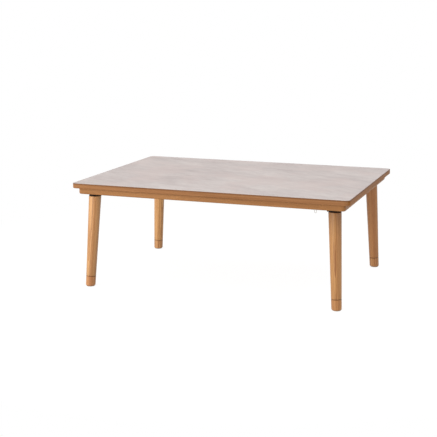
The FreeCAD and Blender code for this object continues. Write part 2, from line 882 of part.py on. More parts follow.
def make_bracket_master():
    """Folding bracket: cup with a stud, cut flat to clear the ears, and a knuckle on an arm."""
    top = -size("plate_thickness") - loose
    low = top - size("cup_height")
    wall = size("cup_wall")
    radius = size("cup_radius")
    bend = wall / 2
    stud = size("stud_radius")
    stud_low = low - size("stud_length")
    knuckle = size("knuckle_radius")
    pivot_x = -size("pivot_inset")
    pivot_z = top - knuckle
    body = new_body("bracket_form")
    revolve(body, "bracket_cup", [
        (ZERO, top), (ZERO, stud_low), (stud - bend, stud_low), (stud, stud_low + bend),
        (stud, top - wall), (radius - wall, top - wall), (radius - wall, low), (radius, low),
        (radius, top - bend, bend, 1), (radius - bend, top),
    ])
    flat = new_sketch(body, "bracket_flat_outline")
    edge = radius + overrun
    draw_path(flat, box_path(-edge, -edge, pivot_x + knuckle + loose * 2, edge))
    pocket(body, "bracket_flat", flat, -low)
    arm = new_sketch(body, "bracket_arm_side", "XZ_Plane")
    draw_path(arm, box_path(pivot_x, top - size("arm_thickness"), ZERO, top))
    pad(body, "bracket_arm", arm, size("knuckle_width"), side="Symmetric")
    eye = new_sketch(body, "bracket_eye_side", "XZ_Plane")
    draw_circle(eye, pivot_x, pivot_z, knuckle)
    pad(body, "bracket_eye", eye, size("knuckle_width"), side="Symmetric")
    bore = new_sketch(body, "bracket_bore", "XZ_Plane")
    draw_circle(bore, pivot_x, pivot_z, size("pivot_pin_radius") + size("running_fit"))
    pocket(body, "bracket_pin_hole", bore, size("knuckle_width") + overrun * 2, side="Symmetric")
    return body


def make_catch_master():
    """Leaf spring under the plate whose bent tip bears on the middle knuckle."""
    thick = size("catch_thickness")
    inner = size("catch_bend_radius")
    outer = inner + thick
    top = -size("plate_thickness")
    tip_x = -size("pivot_inset") - size("knuckle_radius") - loose
    tail_x = tip_x - size("catch_length")
    tip_z = top - loose - size("knuckle_radius") + thick
    body = new_body("catch_form")
    side = new_sketch(body, "catch_side", "XZ_Plane")
    draw_path(side, [
        (tail_x, top - thick), (tip_x - outer, top - thick, inner, -1),
        (tip_x - thick, top - outer), (tip_x - thick, tip_z), (tip_x, tip_z),
        (tip_x, top - outer, outer, 1), (tip_x - outer, top), (tail_x, top),
    ])
    pad(body, "catch_leaf", side, size("catch_width"), side="Symmetric")
    return body


def make_pin_master():
    half = size("knuckle_width") / 2 + loose + size("ear_width")
    radius = size("pivot_pin_radius")
    head = size("pivot_pin_head")
    pin = turned("pivot_pin_turning", [
        (ZERO, -half), (radius, -half), (radius, half), (radius + head, half),
        (radius + head, half + head / 2), (radius, half + head), (ZERO, half + head),
    ])
    pin.Placement = Placement(Vector(), Rotation(Vector(1, 0, 0), 90))
    return pin


def placed_copy(name, master, x, y, z, turn):
    return copies(name, master, [(x, y, z, turn)])


def make_legs_and_fittings():
    plate = make_plate_master()
    bracket = make_bracket_master()
    catch = make_catch_master()
    pin = make_pin_master()
    leg = make_leg_master()
    insert = make_insert_master()
    foot = make_foot_master()
    bolt = make_bolt_master()
    glide = make_glide_master()
    screw = countersunk_screw("plate_screw", size("screw_length"))
    pin_places = []
    screw_places = []
    for corner, (sign_x, sign_y) in CORNERS.items():
        inward = "0 deg" if sign_x > 0 else "180 deg"
        top = (side_of(sign_x, leg_x), side_of(sign_y, leg_y), rail_low, inward)
        ground = (side_of(sign_x, foot_x), side_of(sign_y, foot_y), ZERO,
                  corner_turn(sign_x, sign_y))
        placed_copy(f"{corner}_base_plate", plate, *top)
        placed_copy(f"{corner}_catch_spring", catch, *top)
        placed_copy(f"{corner}_folding_bracket", bracket, *top)
        placed_copy(f"{corner}_leg", leg, *ground)
        placed_copy(f"{corner}_insert_nut", insert, *ground)
        placed_copy(f"{corner}_extension_foot", foot, *ground)
        placed_copy(f"{corner}_foot_bolt", bolt, *ground)
        placed_copy(f"{corner}_glide", glide, *ground)
        pivot_z = cup_top - size("knuckle_radius")
        pivot_x = side_of(sign_x, leg_x - size("pivot_inset"))
        pin_places.append((pivot_x, top[1], pivot_z, inward))
        for along, across in plate_screw_spots():
            screw_places.append((side_of(sign_x, leg_x + along), top[1] + across,
                                 rail_low - size("plate_thickness"), None))
    copies("leg_pivot_pins", pin, pin_places)
    copies("base_plate_screws", screw, screw_places)


# Heater levels
flange_low = crossbar_low - size("heater_sheet")
reflector_low = flange_low - size("reflector_sheet")
tube_z = reflector_low - size("tube_drop")
guard_low = flange_low - size("guard_rim_thickness")


def make_heater_housing():
    """Pressed tray with a raised, vented bay between the crossbars."""
    sheet_thick = size("heater_sheet")
    half = heater_half
    bay = bay_half
    corner = size("heater_corner_radius")
    bay_height = rail_top - size("heater_bay_gap") - flange_low
    body = new_body("heater_housing")
    flange = new_sketch(body, "housing_flange_outline")
    draw_path(flange, round_box_path(half, half, corner))
    pad(body, "housing_flange", flange, sheet_thick)
    block = new_sketch(body, "housing_bay_outline")
    draw_path(block, round_box_path(bay, bay, corner))
    pad(body, "housing_bay", block, bay_height)
    inside = new_sketch(body, "housing_inside_outline")
    draw_path(inside, round_box_path(bay - sheet_thick, bay - sheet_thick, corner - sheet_thick))
    pocket(body, "housing_inside", inside, bay_height - sheet_thick, backward=True)
    slot = new_sketch(body, "housing_vent", level=bay_height)
    half_vent = size("heater_vent_width") / 2
    first = -size("heater_vent_pitch") * (HEATER_VENT_COUNT // 2)
    draw_path(slot, box_path(first - half_vent, -size("heater_vent_length") / 2,
                             first + half_vent, size("heater_vent_length") / 2))
    vent = pocket(body, "housing_vent_slot", slot, sheet_thick + overrun)
    row = body.newObject("PartDesign::LinearPattern", "housing_vents")
    row.Originals = [vent]
    row.Direction = (origin_part(body, "X_Axis"), [""])
    row.Occurrences = HEATER_VENT_COUNT
    bind(row, Length=size("heater_vent_pitch") * (HEATER_VENT_COUNT - 1))
    body.Tip = row
    heater_screw_holes(body, "housing", ZERO, sheet_thick)
    place(node(body, "heater_housing"), z=flange_low)


def heater_screw_holes(body, name, level, depth):
    sketch = new_sketch(body, f"{name}_mount_holes", level=level)
    for x in (-crossbar_x, crossbar_x):
        for sign in (-1, 1):
            y = side_of(sign, heater_screw_y)
            draw_circle(sketch, x, y, size("screw_radius") + fixed)
    pocket(body, f"{name}_mount_cuts", sketch, depth, backward=True)


def make_reflector():
    """Bright sheet with an arched trough above each heating tube."""
    half = guard_opening_half - size("reflector_setback")
    thick = size("reflector_sheet")
    inner = size("trough_radius")
    outer = inner + thick
    middle = size("tube_spacing") / 2
    body = new_body("heater_reflector")
    side = new_sketch(body, "reflector_side_view", "XZ_Plane")
    draw_path(side, [
        (-half, ZERO), (-middle - inner, ZERO, inner, -1), (-middle, inner, inner, -1),
        (inner - middle, ZERO), (middle - inner, ZERO, inner, -1), (middle, inner, inner, -1),
        (middle + inner, ZERO), (half, ZERO), (half, thick), (middle + outer, thick, outer, 1),
        (middle, outer + thick, outer, 1), (middle - outer, thick),
        (outer - middle, thick, outer, 1), (-middle, outer + thick, outer, 1),
        (-middle - outer, thick), (-half, thick),
    ])
    length = (bay_half - size("heater_sheet") - loose) * 2
    pad(body, "reflector_sheet_pad", side, length, side="Symmetric")
    hole = new_sketch(body, "reflector_shaft_hole")
    draw_circle(hole, ZERO, ZERO, size("fan_hub_radius"))
    pocket(body, "reflector_shaft_cut", hole, thick + overrun, backward=True)
    place(node(body, "heater_reflector"), z=reflector_low)


def make_heating_tubes():
    """Two quartz tubes, closed at the ends, held in ceramic holders."""
    half = tube_half
    radius = size("tube_radius")
    wall = size("tube_wall")
    tube = turned("heating_tube", [
        (ZERO, -half), (radius, -half), (radius, half), (ZERO, half), (ZERO, half - wall),
        (radius - wall, half - wall), (radius - wall, wall - half), (ZERO, wall - half),
    ])
    lying = doc.addObject("Part::Compound", "heating_tube_lying")
    lying.Links = [tube]
    lying.Placement = Placement(Vector(), Rotation(Vector(1, 0, 0), 90))
    middle = size("tube_spacing") / 2
    copies("heating_tubes", lying, [(-middle, ZERO, tube_z, None), (middle, ZERO, tube_z, None)])

    holder = new_body("tube_holder")
    face = new_sketch(holder, "tube_holder_face", "XZ_Plane")
    crown = size("trough_radius") - fixed
    lift = size("tube_drop")
    chin = -radius - size("holder_chin")
    half_width = size("holder_width") / 2
    draw_path(face, [
        (-half_width, chin), (half_width, chin), (half_width, lift), (crown, lift, crown, 1),
        (ZERO, lift + crown, crown, 1), (-crown, lift), (-half_width, lift),
    ])
    draw_circle(face, ZERO, ZERO, radius + fixed)
    pad(holder, "tube_holder_block", face, size("holder_thickness"), side="Symmetric")
    places = []
    for x in (-middle, middle):
        for sign in (-1, 1):
            places.append((x, side_of(sign, holder_half), tube_z, None))
    copies("tube_holders", holder, places)


def make_heater_guard():
    """Wire basket under the tubes: a flat rim, bent cross wires and two long ties."""
    half = heater_half
    corner = size("heater_corner_radius")
    wire = size("guard_wire_radius")
    span = guard_opening_half + size("guard_wire_lap")
    bend = size("guard_bend_radius")
    bottom = wire - size("guard_depth")
    seat = size("guard_rim_thickness") / 2
    body = new_body("heater_guard")
    ring = new_sketch(body, "guard_rim_outline")
    draw_path(ring, round_box_path(half, half, corner))
    draw_path(ring, round_box_path(guard_opening_half, guard_opening_half, corner / 2))
    pad(body, "guard_rim", ring, size("guard_rim_thickness"))

    def bent_wire(name, plane, section_x, section_y, depth, offset):
        route = new_sketch(body, f"{name}_route", plane, level=offset)
        draw_path(route, [
            (-span, seat), (-span, depth + bend, bend, 1), (bend - span, depth),
            (span - bend, depth, bend, 1), (span, depth + bend), (span, seat),
        ], closed=False)
        section = new_sketch(body, f"{name}_section", level=seat)
        draw_circle(section, section_x, section_y, wire)
        pipe = body.newObject("PartDesign::AdditivePipe", name)
        pipe.Profile = section
        pipe.Spine = (route, [])
        return pipe

    cross = bent_wire("guard_cross_wire", "XZ_Plane", -span, -span, bottom, span)
    row = body.newObject("PartDesign::LinearPattern", "guard_cross_wires")
    row.Originals = [cross]
    row.Direction = (origin_part(body, "Y_Axis"), [""])
    row.Occurrences = GUARD_WIRE_COUNT
    bind(row, Length=span * 2)
    body.Tip = row
    tie_x = -size("guard_tie_spacing") / 2
    tie = bent_wire("guard_tie_wire", "YZ_Plane", tie_x, -span, bottom + wire * WELD_SHARE, tie_x)
    pair = body.newObject("PartDesign::LinearPattern", "guard_tie_wires")
    pair.Originals = [tie]
    pair.Direction = (origin_part(body, "X_Axis"), [""])
    pair.Occurrences = 2
    bind(pair, Length=size("guard_tie_spacing"))
    body.Tip = pair
    heater_screw_holes(body, "guard", ZERO, size("guard_rim_thickness"))
    place(node(body, "heater_guard"), z=guard_low)


def make_fan_group():
    """Flat motor on the reflector, its shaft and the fan below."""
    bore = size("fan_shaft_radius") + size("running_fit")
    flange = size("motor_flange_thickness")
    height = size("motor_height")
    rounding = size("motor_round")
    motor = turned("fan_motor", [
        (bore, ZERO), (size("motor_flange_radius"), ZERO), (size("motor_flange_radius"), flange),
        (size("motor_radius"), flange), (size("motor_radius"), height - rounding),
        (size("motor_radius") - rounding, height), (ZERO, height),
        (ZERO, height - flange), (bore, height - flange),
    ])
    place(node(motor, "fan_motor"), z=flange_low)

    fan_low = reflector_low - size("fan_gap") - size("fan_height")
    shaft = size("fan_shaft_radius")
    low = fan_low - size("fan_shaft_end")
    high = flange_low + height - flange - loose
    rod = turned("fan_shaft", [
        (ZERO, ZERO), (shaft, ZERO), (shaft, high - low), (ZERO, high - low),
    ])
    place(node(rod, "fan_shaft"), z=low)

    hub = size("fan_hub_radius")
    tall = size("fan_height")
    blade = size("fan_blade_thickness")
    fan = new_body("heater_fan")
    revolve(fan, "fan_hub", [
        (shaft + fixed, ZERO), (hub - blade, ZERO), (hub, blade), (hub, tall),
        (shaft + fixed, tall),
    ])
    sections = []
    for name, place_x, chord in (("root", hub - blade, size("fan_root_chord")),
                                 ("tip", size("fan_radius"), size("fan_tip_chord"))):
        section = new_sketch(fan, f"fan_blade_{name}", "YZ_Plane", level=place_x)
        draw_path(section, [
            (-chord / 2, blade), (blade - chord / 2, blade), (chord / 2, tall - blade),
            (chord / 2 - blade, tall - blade),
        ])
        sections.append(section)
    vane = fan.newObject("PartDesign::AdditiveLoft", "fan_blade")
    vane.Profile = sections[0]
    vane.Sections = [sections[1]]
    vane.Ruled = True
    ring = fan.newObject("PartDesign::PolarPattern", "fan_blades")
    ring.Originals = [vane]
    ring.Axis = (origin_part(fan, "Z_Axis"), [""])
    ring.Angle = 360
    ring.Occurrences = FAN_BLADE_COUNT
    fan.Tip = ring
    place(node(fan, "heater_fan"), z=fan_low)


def make_thermostat():
    half_x = size("thermostat_length") / 2
    half_y = size("thermostat_width") / 2
    tall = size("thermostat_height")
    tab = size("thermostat_tab")
    body = new_body("thermostat")
    case = new_sketch(body, "thermostat_outline")
    draw_path(case, round_box_path(half_x, half_y, size("inlet_wall")))
    pad(body, "thermostat_case", case, tall, backward=True)
    tabs = new_sketch(body, "thermostat_tab_ends", "YZ_Plane")
    draw_path(tabs, box_path(-half_y / 2, -tall / 2 - size("reflector_sheet"), half_y / 2, -tall / 2))
    pad(body, "thermostat_tabs", tabs, (half_x + tab) * 2, side="Symmetric")
    place(node(body, "thermostat"), y=bay_half - size("thermostat_setback"), z=reflector_low)


def make_cord_inlet():
    """Socket on the housing's back edge, where the lead would plug in."""
    half = size("inlet_width") / 2
    tall = size("inlet_height")
    wall = size("inlet_wall")
    depth = size("inlet_depth")
    body = new_body("cord_inlet")
    shell = new_sketch(body, "inlet_outline", "XZ_Plane")
    draw_path(shell, [
        (-half, ZERO), (half, ZERO), (half, tall - wall, wall, 1), (half - wall, tall),
        (wall - half, tall, wall, 1), (-half, tall - wall),
    ])
    pad(body, "inlet_shell", shell, depth, backward=True)
    mouth = new_sketch(body, "inlet_mouth", "XZ_Plane", level=-depth)
    draw_path(mouth, box_path(wall - half, wall, half - wall, tall - wall))
    pocket(body, "inlet_socket", mouth, size("inlet_socket_depth"), backward=True)
    pins = new_sketch(body, "inlet_pin_ends", "XZ_Plane", level=-depth + size("inlet_socket_depth"))
    for sign in (-1, 1):
        draw_circle(pins, side_of(sign, size("inlet_pin_spacing") / 2), tall / 2,
                    size("inlet_pin_radius"))
    pad(body, "inlet_pins", pins, size("inlet_socket_depth") - wall, backward=True)
    place(node(body, "cord_inlet"), y=bay_half, z=crossbar_low)


def pan_screw(name, length):
    """Screw with its head below Z = 0 and its shank above."""
    shank = size("screw_radius")
    head = size("pan_head_radius")
    tall = size("pan_head_height")
    return turned(name, [
        (ZERO, -tall), (head - tall / 2, -tall), (head, -tall / 2), (head, ZERO), (shank, ZERO),
        (shank, length - shank), (shank / 2, length), (ZERO, length),
    ])


def make_heater_screws():
    length = size("heater_screw_length")
    screw = pan_screw("heater_screw", length)
    places = []
    for x in (-crossbar_x, crossbar_x):
        for sign in (-1, 1):
            places.append((x, side_of(sign, heater_screw_y), guard_low, None))
    copies("heater_screws", screw, places)


def make_cord_hook():
    """Small loop of moulded plastic screwed under the front rail."""
    wire = size("hook_wire_radius")
    half = size("hook_half_width")
    thick = size("hook_base_thickness")
    bottom = wire - thick - size("hook_drop")
    body = new_body("cord_hook")
    foot = new_sketch(body, "hook_base_outline")
    draw_path(foot, round_box_path(size("hook_base_length") / 2, size("hook_base_width") / 2,
                                   size("hook_base_width") / 4))
    pad(body, "hook_base", foot, thick, backward=True)
    route = new_sketch(body, "hook_route", "XZ_Plane")
    draw_path(route, [
        (-half, -thick / 2), (-half, bottom + half, half, 1), (ZERO, bottom, half, 1),
        (half, bottom + half), (half, -thick / 2),
    ], closed=False)
    section = new_sketch(body, "hook_section", level=-thick / 2)
    draw_circle(section, -half, ZERO, wire)
    pipe = body.newObject("PartDesign::AdditivePipe", "hook_loop")
    pipe.Profile = section
    pipe.Spine = (route, [])
    holes = new_sketch(body, "hook_screw_spots")
    for sign in (-1, 1):
        draw_circle(holes, side_of(sign, size("hook_screw_offset")), ZERO,
                    size("screw_radius") + fixed)
    drilled = pocket(body, "hook_screw_holes", holes, thick)
    countersink(body, "hook", drilled, -thick.value)
    y = size("hook_setback") - frame_half_y
    place(node(body, "cord_hook"), x=hook_x, y=y, z=rail_low)

    screw = countersunk_screw("hook_screw", size("hook_screw_length"))
    places = []
    for sign in (-1, 1):
        x = hook_x + side_of(sign, size("hook_screw_offset"))
        places.append((x, y, rail_low - thick, None))
    copies("cord_hook_screws", screw, places)


def check_document():
    """Stop if anything failed to build."""
    for item in doc.Objects:
        if "Invalid" in item.State or "Error" in item.State:
            raise RuntimeError(f"{item.Label} failed: {item.State}")
    for piece in nodes:
        if piece.Shape.isNull() or not piece.Shape.isValid() or not piece.Shape.Solids:
            raise RuntimeError(f"{piece.Label} has no valid solid")


make_tabletop()
make_long_rail("front_rail", front=True)
make_long_rail("back_rail", front=False)
make_side_rail("left_rail", -1)
make_side_rail("right_rail", 1)
make_dowels()
make_crossbars()
make_top_pads()
make_legs_and_fittings()
make_heater_housing()
make_reflector()
make_heating_tubes()
make_heater_guard()
make_fan_group()
make_thermostat()
make_cord_inlet()
make_heater_screws()
make_cord_hook()
doc.recompute()
check_document()
os.makedirs("parts", exist_ok=True)
for piece in nodes:
    piece.Shape.exportStep(f"parts/{piece.Label}.step")
print(f"{len(nodes)} sub-parts written")
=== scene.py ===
"""Looks of the kotatsu table: materials, small pieces, studio and camera.

Metres, +Z up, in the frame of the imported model. The front is on the -Y side.
"""
import json
import math

import bmesh
import bpy
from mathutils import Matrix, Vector


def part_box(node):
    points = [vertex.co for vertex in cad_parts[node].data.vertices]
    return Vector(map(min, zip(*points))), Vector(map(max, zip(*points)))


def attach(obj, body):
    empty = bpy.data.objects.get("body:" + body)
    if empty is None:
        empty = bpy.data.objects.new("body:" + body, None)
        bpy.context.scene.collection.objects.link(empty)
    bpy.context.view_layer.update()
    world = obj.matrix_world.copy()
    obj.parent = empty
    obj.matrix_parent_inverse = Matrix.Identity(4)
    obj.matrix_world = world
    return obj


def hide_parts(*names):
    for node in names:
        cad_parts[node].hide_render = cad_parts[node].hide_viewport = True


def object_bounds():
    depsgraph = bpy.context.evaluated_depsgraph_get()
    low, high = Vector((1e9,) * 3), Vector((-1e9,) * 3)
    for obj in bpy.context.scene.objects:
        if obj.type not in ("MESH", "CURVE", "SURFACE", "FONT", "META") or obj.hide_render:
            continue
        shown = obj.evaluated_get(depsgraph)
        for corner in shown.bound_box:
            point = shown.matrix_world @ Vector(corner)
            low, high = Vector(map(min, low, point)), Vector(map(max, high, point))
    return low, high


MM = 0.001
CORNERS = ("front_left", "front_right", "back_left", "back_right")
ALONG_X = (1, 0, 0)
ALONG_Y = (0, 1, 0)

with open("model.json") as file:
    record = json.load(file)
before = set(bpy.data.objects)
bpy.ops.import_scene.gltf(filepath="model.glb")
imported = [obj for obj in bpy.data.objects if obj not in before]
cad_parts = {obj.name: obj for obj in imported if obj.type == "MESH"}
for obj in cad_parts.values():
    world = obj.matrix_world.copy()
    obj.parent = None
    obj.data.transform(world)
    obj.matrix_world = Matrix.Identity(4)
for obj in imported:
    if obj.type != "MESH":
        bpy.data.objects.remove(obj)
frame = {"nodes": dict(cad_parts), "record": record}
cad_low, cad_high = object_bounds()
nodes = frame["nodes"]


def tone(red, green, blue):
    """Linear colour from an 8-bit sRGB one, by the formula that defines sRGB."""
    linear = []
    for channel in (red, green, blue):
        share = channel / 255
        linear.append(share / 12.92 if share <= 0.04045 else ((share + 0.055) / 1.055) ** 2.4)
    return (*linear, 1.0)


def grey(level):
    """Neutral colour of a linear level."""
    return (level, level, level, 1.0)


def tinted(colour, shares):
    """Colour with its red, green and blue multiplied by a share each."""
    return (*(channel * share for channel, share in zip(colour, shares)), 1.0)


def shaded(colour, share):
    """Colour darkened to a share of itself."""
    return tinted(colour, (share, share, share))


# Where most of a noise lies, for a gentle and for a livelier use of it
WIDE_SPAN = (0.3, 0.7)
NARROW_SPAN = (0.35, 0.65)

# Each wood's light and dark colour
EDGE_TONES = (tone(169, 120, 79), tone(133, 86, 50))
FRAME_TONES = (tone(178, 127, 79), tone(136, 86, 44))
LEG_TONES = (tone(220, 164, 102), tone(168, 110, 58))
FOOT_TONES = (tone(214, 154, 94), tone(166, 102, 54))
PINE_TONES = (tone(226, 196, 150), tone(202, 164, 112))

# Tints multiply the red, green and blue of a wood's two colours. The wood across the
# table's ends has one beside that along its front and back
NO_TINT = (1, 1, 1)
END_TINT = (0.98, 0.86, 0.52)
# Each leg, and each foot, has its own tint: partly the tone of its own piece of wood, partly
# painted shade on the right-hand ones and painted light on the back-left ones, standing in for
# light that falls off from left to right
LEG_TINTS = {
    "front_left": (0.97, 1.00, 1.08),
    "front_right": (0.79, 0.75, 0.68),
    "back_left": (1.23, 1.30, 1.43),
    "back_right": (0.78, 0.69, 0.65),
}
FOOT_TINTS = {
    "front_left": (0.91, 0.92, 0.98),
    "front_right": (0.79, 0.76, 0.70),
    "back_left": (0.99, 1.06, 1.22),
    "back_right": (0.81, 0.82, 0.84),
}
# Which stretch of the grain each leg is cut from, in metres across it
LEG_GRAIN_SHIFTS = {
    "front_left": 0.0,
    "front_right": 0.23,
    "back_left": 0.37,
    "back_right": 1.33,
}
# How much each leg darkens towards its foot, and how much painted shadow of the frame and top
# darkens it towards its top
LEG_DARKER_ENDS = {
    "front_left": (0.20, 0.04),
    "front_right": (0.06, 0.65),
    "back_left": (0.22, 0.0),
    "back_right": (0.10, 0.0),
}


class Graph:
    """The shader nodes of a material or of the world."""

    def __init__(self, owner):
        owner.use_nodes = True
        self.owner = owner
        self.nodes = owner.node_tree.nodes
        self.links = owner.node_tree.links

    def feed(self, socket, value):
        """Link a socket to another one, or set its value."""
        if isinstance(value, bpy.types.NodeSocket):
            self.links.new(value, socket)
        else:
            socket.default_value = value

    def add(self, kind, inputs, **settings):
        """New node of a kind, with its settings and then its inputs."""
        node = self.nodes.new(f"ShaderNode{kind}")
        for key, value in settings.items():
            setattr(node, key, value)
        for key, value in inputs.items():
            self.feed(node.inputs[key], value)
        return node

    def set(self, **values):
        """Set or link the shader's inputs, named with underscores for spaces."""
        shader = self.nodes["Principled BSDF"]
        for key, value in values.items():
            self.feed(shader.inputs[key.replace("_", " ")], value)

    def place(self):
        """Place of a point in metres, which moves along with the object."""
        return self.add("TexCoord", {}).outputs["Object"]

    def number(self, operation, *values):
        """Result of an operation on numbers."""
        return self.add("Math", dict(enumerate(values)), operation=operation).outputs[0]

    def vector(self, operation, *values):
        """Result of an operation on vectors."""
        node = self.add("VectorMath", dict(enumerate(values)), operation=operation)
        return node.outputs["Vector"]

    def length(self, vector):
        """Length of a vector."""
        return self.add("VectorMath", {0: vector}, operation="LENGTH").outputs["Value"]

    def layered(self, *layers):
        """Sum of layers, each a value with the share that it takes."""
        total = None
        for value, share in layers:
            part = self.number("MULTIPLY", value, share)
            total = part if total is None else self.number("ADD", total, part)
        return total

    def noise(self, vector, scale, detail=2.0, roughness=0.5):
        """Noise from 0 to 1. Its scale, features to a metre, may differ along X, Y and Z."""
        if isinstance(scale, tuple):
            vector, scale = self.vector("MULTIPLY", vector, scale), 1.0
        inputs = {"Vector": vector, "Scale": scale, "Detail": detail, "Roughness": roughness}
        return self.add("TexNoise", inputs).outputs["Fac"]

    def remap(self, value, span, new_span=(0.0, 1.0)):
        """Carry a span of values over to another, and hold it at the ends."""
        inputs = dict(enumerate((value, *span, *new_span)))
        return self.add("MapRange", inputs).outputs[0]

    def blend(self, share, first, second):
        """Mix of two colours or vectors, by the second one's share."""
        node = self.add("Mix", {}, data_type="RGBA")
        for key, value in {"Factor": share, "A": first, "B": second}.items():
            socket = [s for s in node.inputs if s.name == key and s.enabled][0]
            self.feed(socket, value)
        return [s for s in node.outputs if s.enabled][0]

    def bump(self, height, depth, strength=1.0):
        """Let a height from 0 to 1 stand proud by a depth in metres."""
        inputs = {"Height": height, "Distance": depth, "Strength": strength}
        self.set(Normal=self.add("Bump", inputs).outputs[0])


def material_graph(name):
    """The nodes of a new material."""
    return Graph(bpy.data.materials.new(name))


def mortar_laminate():
    """Matt laminate with cloudy trowel marks, like smoothed mortar."""
    trowel_angle = math.radians(24)
    cloud_scale = (5.0, 9.0, 1.0)
    stroke_scale = (13.0, 40.0, 1.0)
    mottle_scale = 60
    grit_scale = 900
    warmth_scale = 6
    cloudy_span = (0.42, 0.68)
    warm_span = (0.45, 0.60)
    dusty_span = (0.60, 0.78)
    most_warmth = 0.45
    most_dust = 0.22
    graph = material_graph("mortar_laminate")
    place = graph.place()
    slanted = graph.add("Mapping", {"Vector": place, "Rotation": (0, 0, trowel_angle)}).outputs[0]
    clouds = graph.noise(slanted, cloud_scale, detail=4, roughness=0.6)
    strokes = graph.noise(slanted, stroke_scale, detail=5, roughness=0.65)
    mottle = graph.noise(place, mottle_scale, detail=6, roughness=0.65)
    grit = graph.noise(place, grit_scale, detail=2)
    share = graph.layered((clouds, 0.5), (strokes, 0.4), (mottle, 0.2))
    share = graph.remap(share, cloudy_span)
    colour = graph.blend(share, tone(197, 184, 181), tone(224, 214, 210))
    warmth = graph.remap(graph.noise(slanted, warmth_scale, detail=3), warm_span)
    warmth = graph.number("MULTIPLY", warmth, most_warmth)
    colour = graph.blend(warmth, colour, tone(219, 201, 196))
    dust = graph.remap(grit, dusty_span, (0.0, most_dust))
    colour = graph.blend(dust, colour, tone(178, 165, 160))
    graph.set(Base_Color=colour, Specular_IOR_Level=0.35)
    graph.set(Roughness=graph.remap(mottle, WIDE_SPAN, (0.50, 0.62)))
    graph.bump(graph.layered((strokes, 0.7), (grit, 0.3)), depth=0.10 * MM, strength=0.6)
    return graph.owner


def edge_band():
    """Wood-grain band whose grain turns the corners with the edge."""
    streak_scale = (5.0, 1.0, 210.0)
    streak_band_scale = (2.0, 1.0, 70.0)
    fibre_scale = (80.0, 1.0, 2200.0)
    grainy_span = (0.42, 0.82)
    # How far a face points along X where the grain changes over to the ends' own
    turning_span = (0.6, 0.8)
    # The band darkens towards its upper edge: how far down that goes, and how much there is
    darkening_depth = 7 * MM
    most_darkening = 0.7
    light, dark = EDGE_TONES
    graph = material_graph("edge_wood")
    place = graph.place()
    facing = graph.add("SeparateXYZ", {0: graph.add("TexCoord", {}).outputs["Normal"]})
    at_end = graph.remap(graph.number("ABSOLUTE", facing.outputs["X"]), turning_span)
    along_front = graph.vector("MULTIPLY", place, (1.0, 0.0, 1.0))
    split = graph.add("SeparateXYZ", {0: place}).outputs
    along_end = graph.add("CombineXYZ", {"X": split["Y"], "Z": split["Z"]}).outputs[0]
    local = graph.blend(at_end, along_front, along_end)
    streaks = graph.noise(local, streak_scale, detail=3, roughness=0.55)
    bands = graph.noise(local, streak_band_scale, detail=2)
    fibres = graph.noise(local, fibre_scale, detail=2)
    share = graph.layered((streaks, 0.6), (bands, 0.4), (fibres, 0.25))
    share = graph.remap(share, grainy_span)
    colour = graph.blend(share, graph.blend(at_end, light, tinted(light, END_TINT)),
                         graph.blend(at_end, dark, tinted(dark, END_TINT)))
    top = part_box("tabletop_edge_band")[1].z
    darkening = graph.remap(split["Z"], (top - darkening_depth, top), (0.0, most_darkening))
    graph.set(Base_Color=graph.blend(darkening, colour, shaded(dark, 0.5)))
    graph.set(Roughness=graph.remap(fibres, WIDE_SPAN, (0.42, 0.54)), Specular_IOR_Level=0.08)
    graph.bump(fibres, depth=0.05 * MM, strength=0.5)
    return graph.owner


def particle_board():
    """Pressed wood chips."""
    chip_scale = (300.0, 300.0, 900.0)
    graph = material_graph("board")
    place = graph.vector("MULTIPLY", graph.place(), chip_scale)
    chips = graph.add("TexVoronoi", {"Vector": place})
    chip = graph.add("SeparateColor", {0: chips.outputs["Color"]}).outputs[0]
    colour = graph.blend(chip, tone(206, 176, 132), tone(170, 132, 88))
    graph.set(Base_Color=colour, Roughness=0.85)
    graph.bump(chip, depth=0.2 * MM)
    return graph.owner


def backing_sheet():
    """Plain brown paper-like sheet."""
    felt_scale = 260
    cloud_scale = 9
    graph = material_graph("backing")
    place = graph.place()
    felted = graph.noise(place, felt_scale, detail=5)
    clouds = graph.noise(place, cloud_scale, detail=3)
    share = graph.remap(graph.layered((felted, 0.6), (clouds, 0.4)), NARROW_SPAN)
    colour = graph.blend(share, tone(176, 150, 118), tone(158, 130, 98))
    graph.set(Base_Color=colour, Roughness=0.7)
    graph.bump(felted, depth=0.05 * MM)
    return graph.owner


def coated(name, light, dark, roughness, skin_scale=900.0, metal=0.0, gloss=0.5):
    """Powder coat, paint, glaze or moulded plastic with a fine skin."""
    patch_scale = 35
    rough_span = (roughness - 0.05, roughness + 0.05)
    graph = material_graph(name)
    place = graph.place()
    skin = graph.noise(place, skin_scale, detail=3)
    patches = graph.noise(place, patch_scale, detail=3)
    share = graph.remap(graph.layered((skin, 0.5), (patches, 0.5)), NARROW_SPAN)
    graph.set(Base_Color=graph.blend(share, dark, light))
    graph.set(Metallic=metal, Specular_IOR_Level=gloss)
    graph.set(Roughness=graph.remap(skin, WIDE_SPAN, rough_span))
    graph.bump(skin, depth=0.03 * MM)
    return graph.owner


def brushed(name, light, dark, roughness, line_scale=(30.0, 900.0, 900.0)):
    """Bare metal with fine drawn lines."""
    stain_scale = 60
    rough_span = (roughness - 0.06, roughness + 0.08)
    graph = material_graph(name)
    place = graph.place()
    lines = graph.noise(place, line_scale, detail=3)
    stains = graph.noise(place, stain_scale, detail=3)
    share = graph.remap(graph.layered((lines, 0.6), (stains, 0.4)), NARROW_SPAN)
    graph.set(Base_Color=graph.blend(share, dark, light), Metallic=1.0)
    graph.set(Roughness=graph.remap(lines, WIDE_SPAN, rough_span))
    graph.bump(lines, depth=0.02 * MM)
    return graph.owner


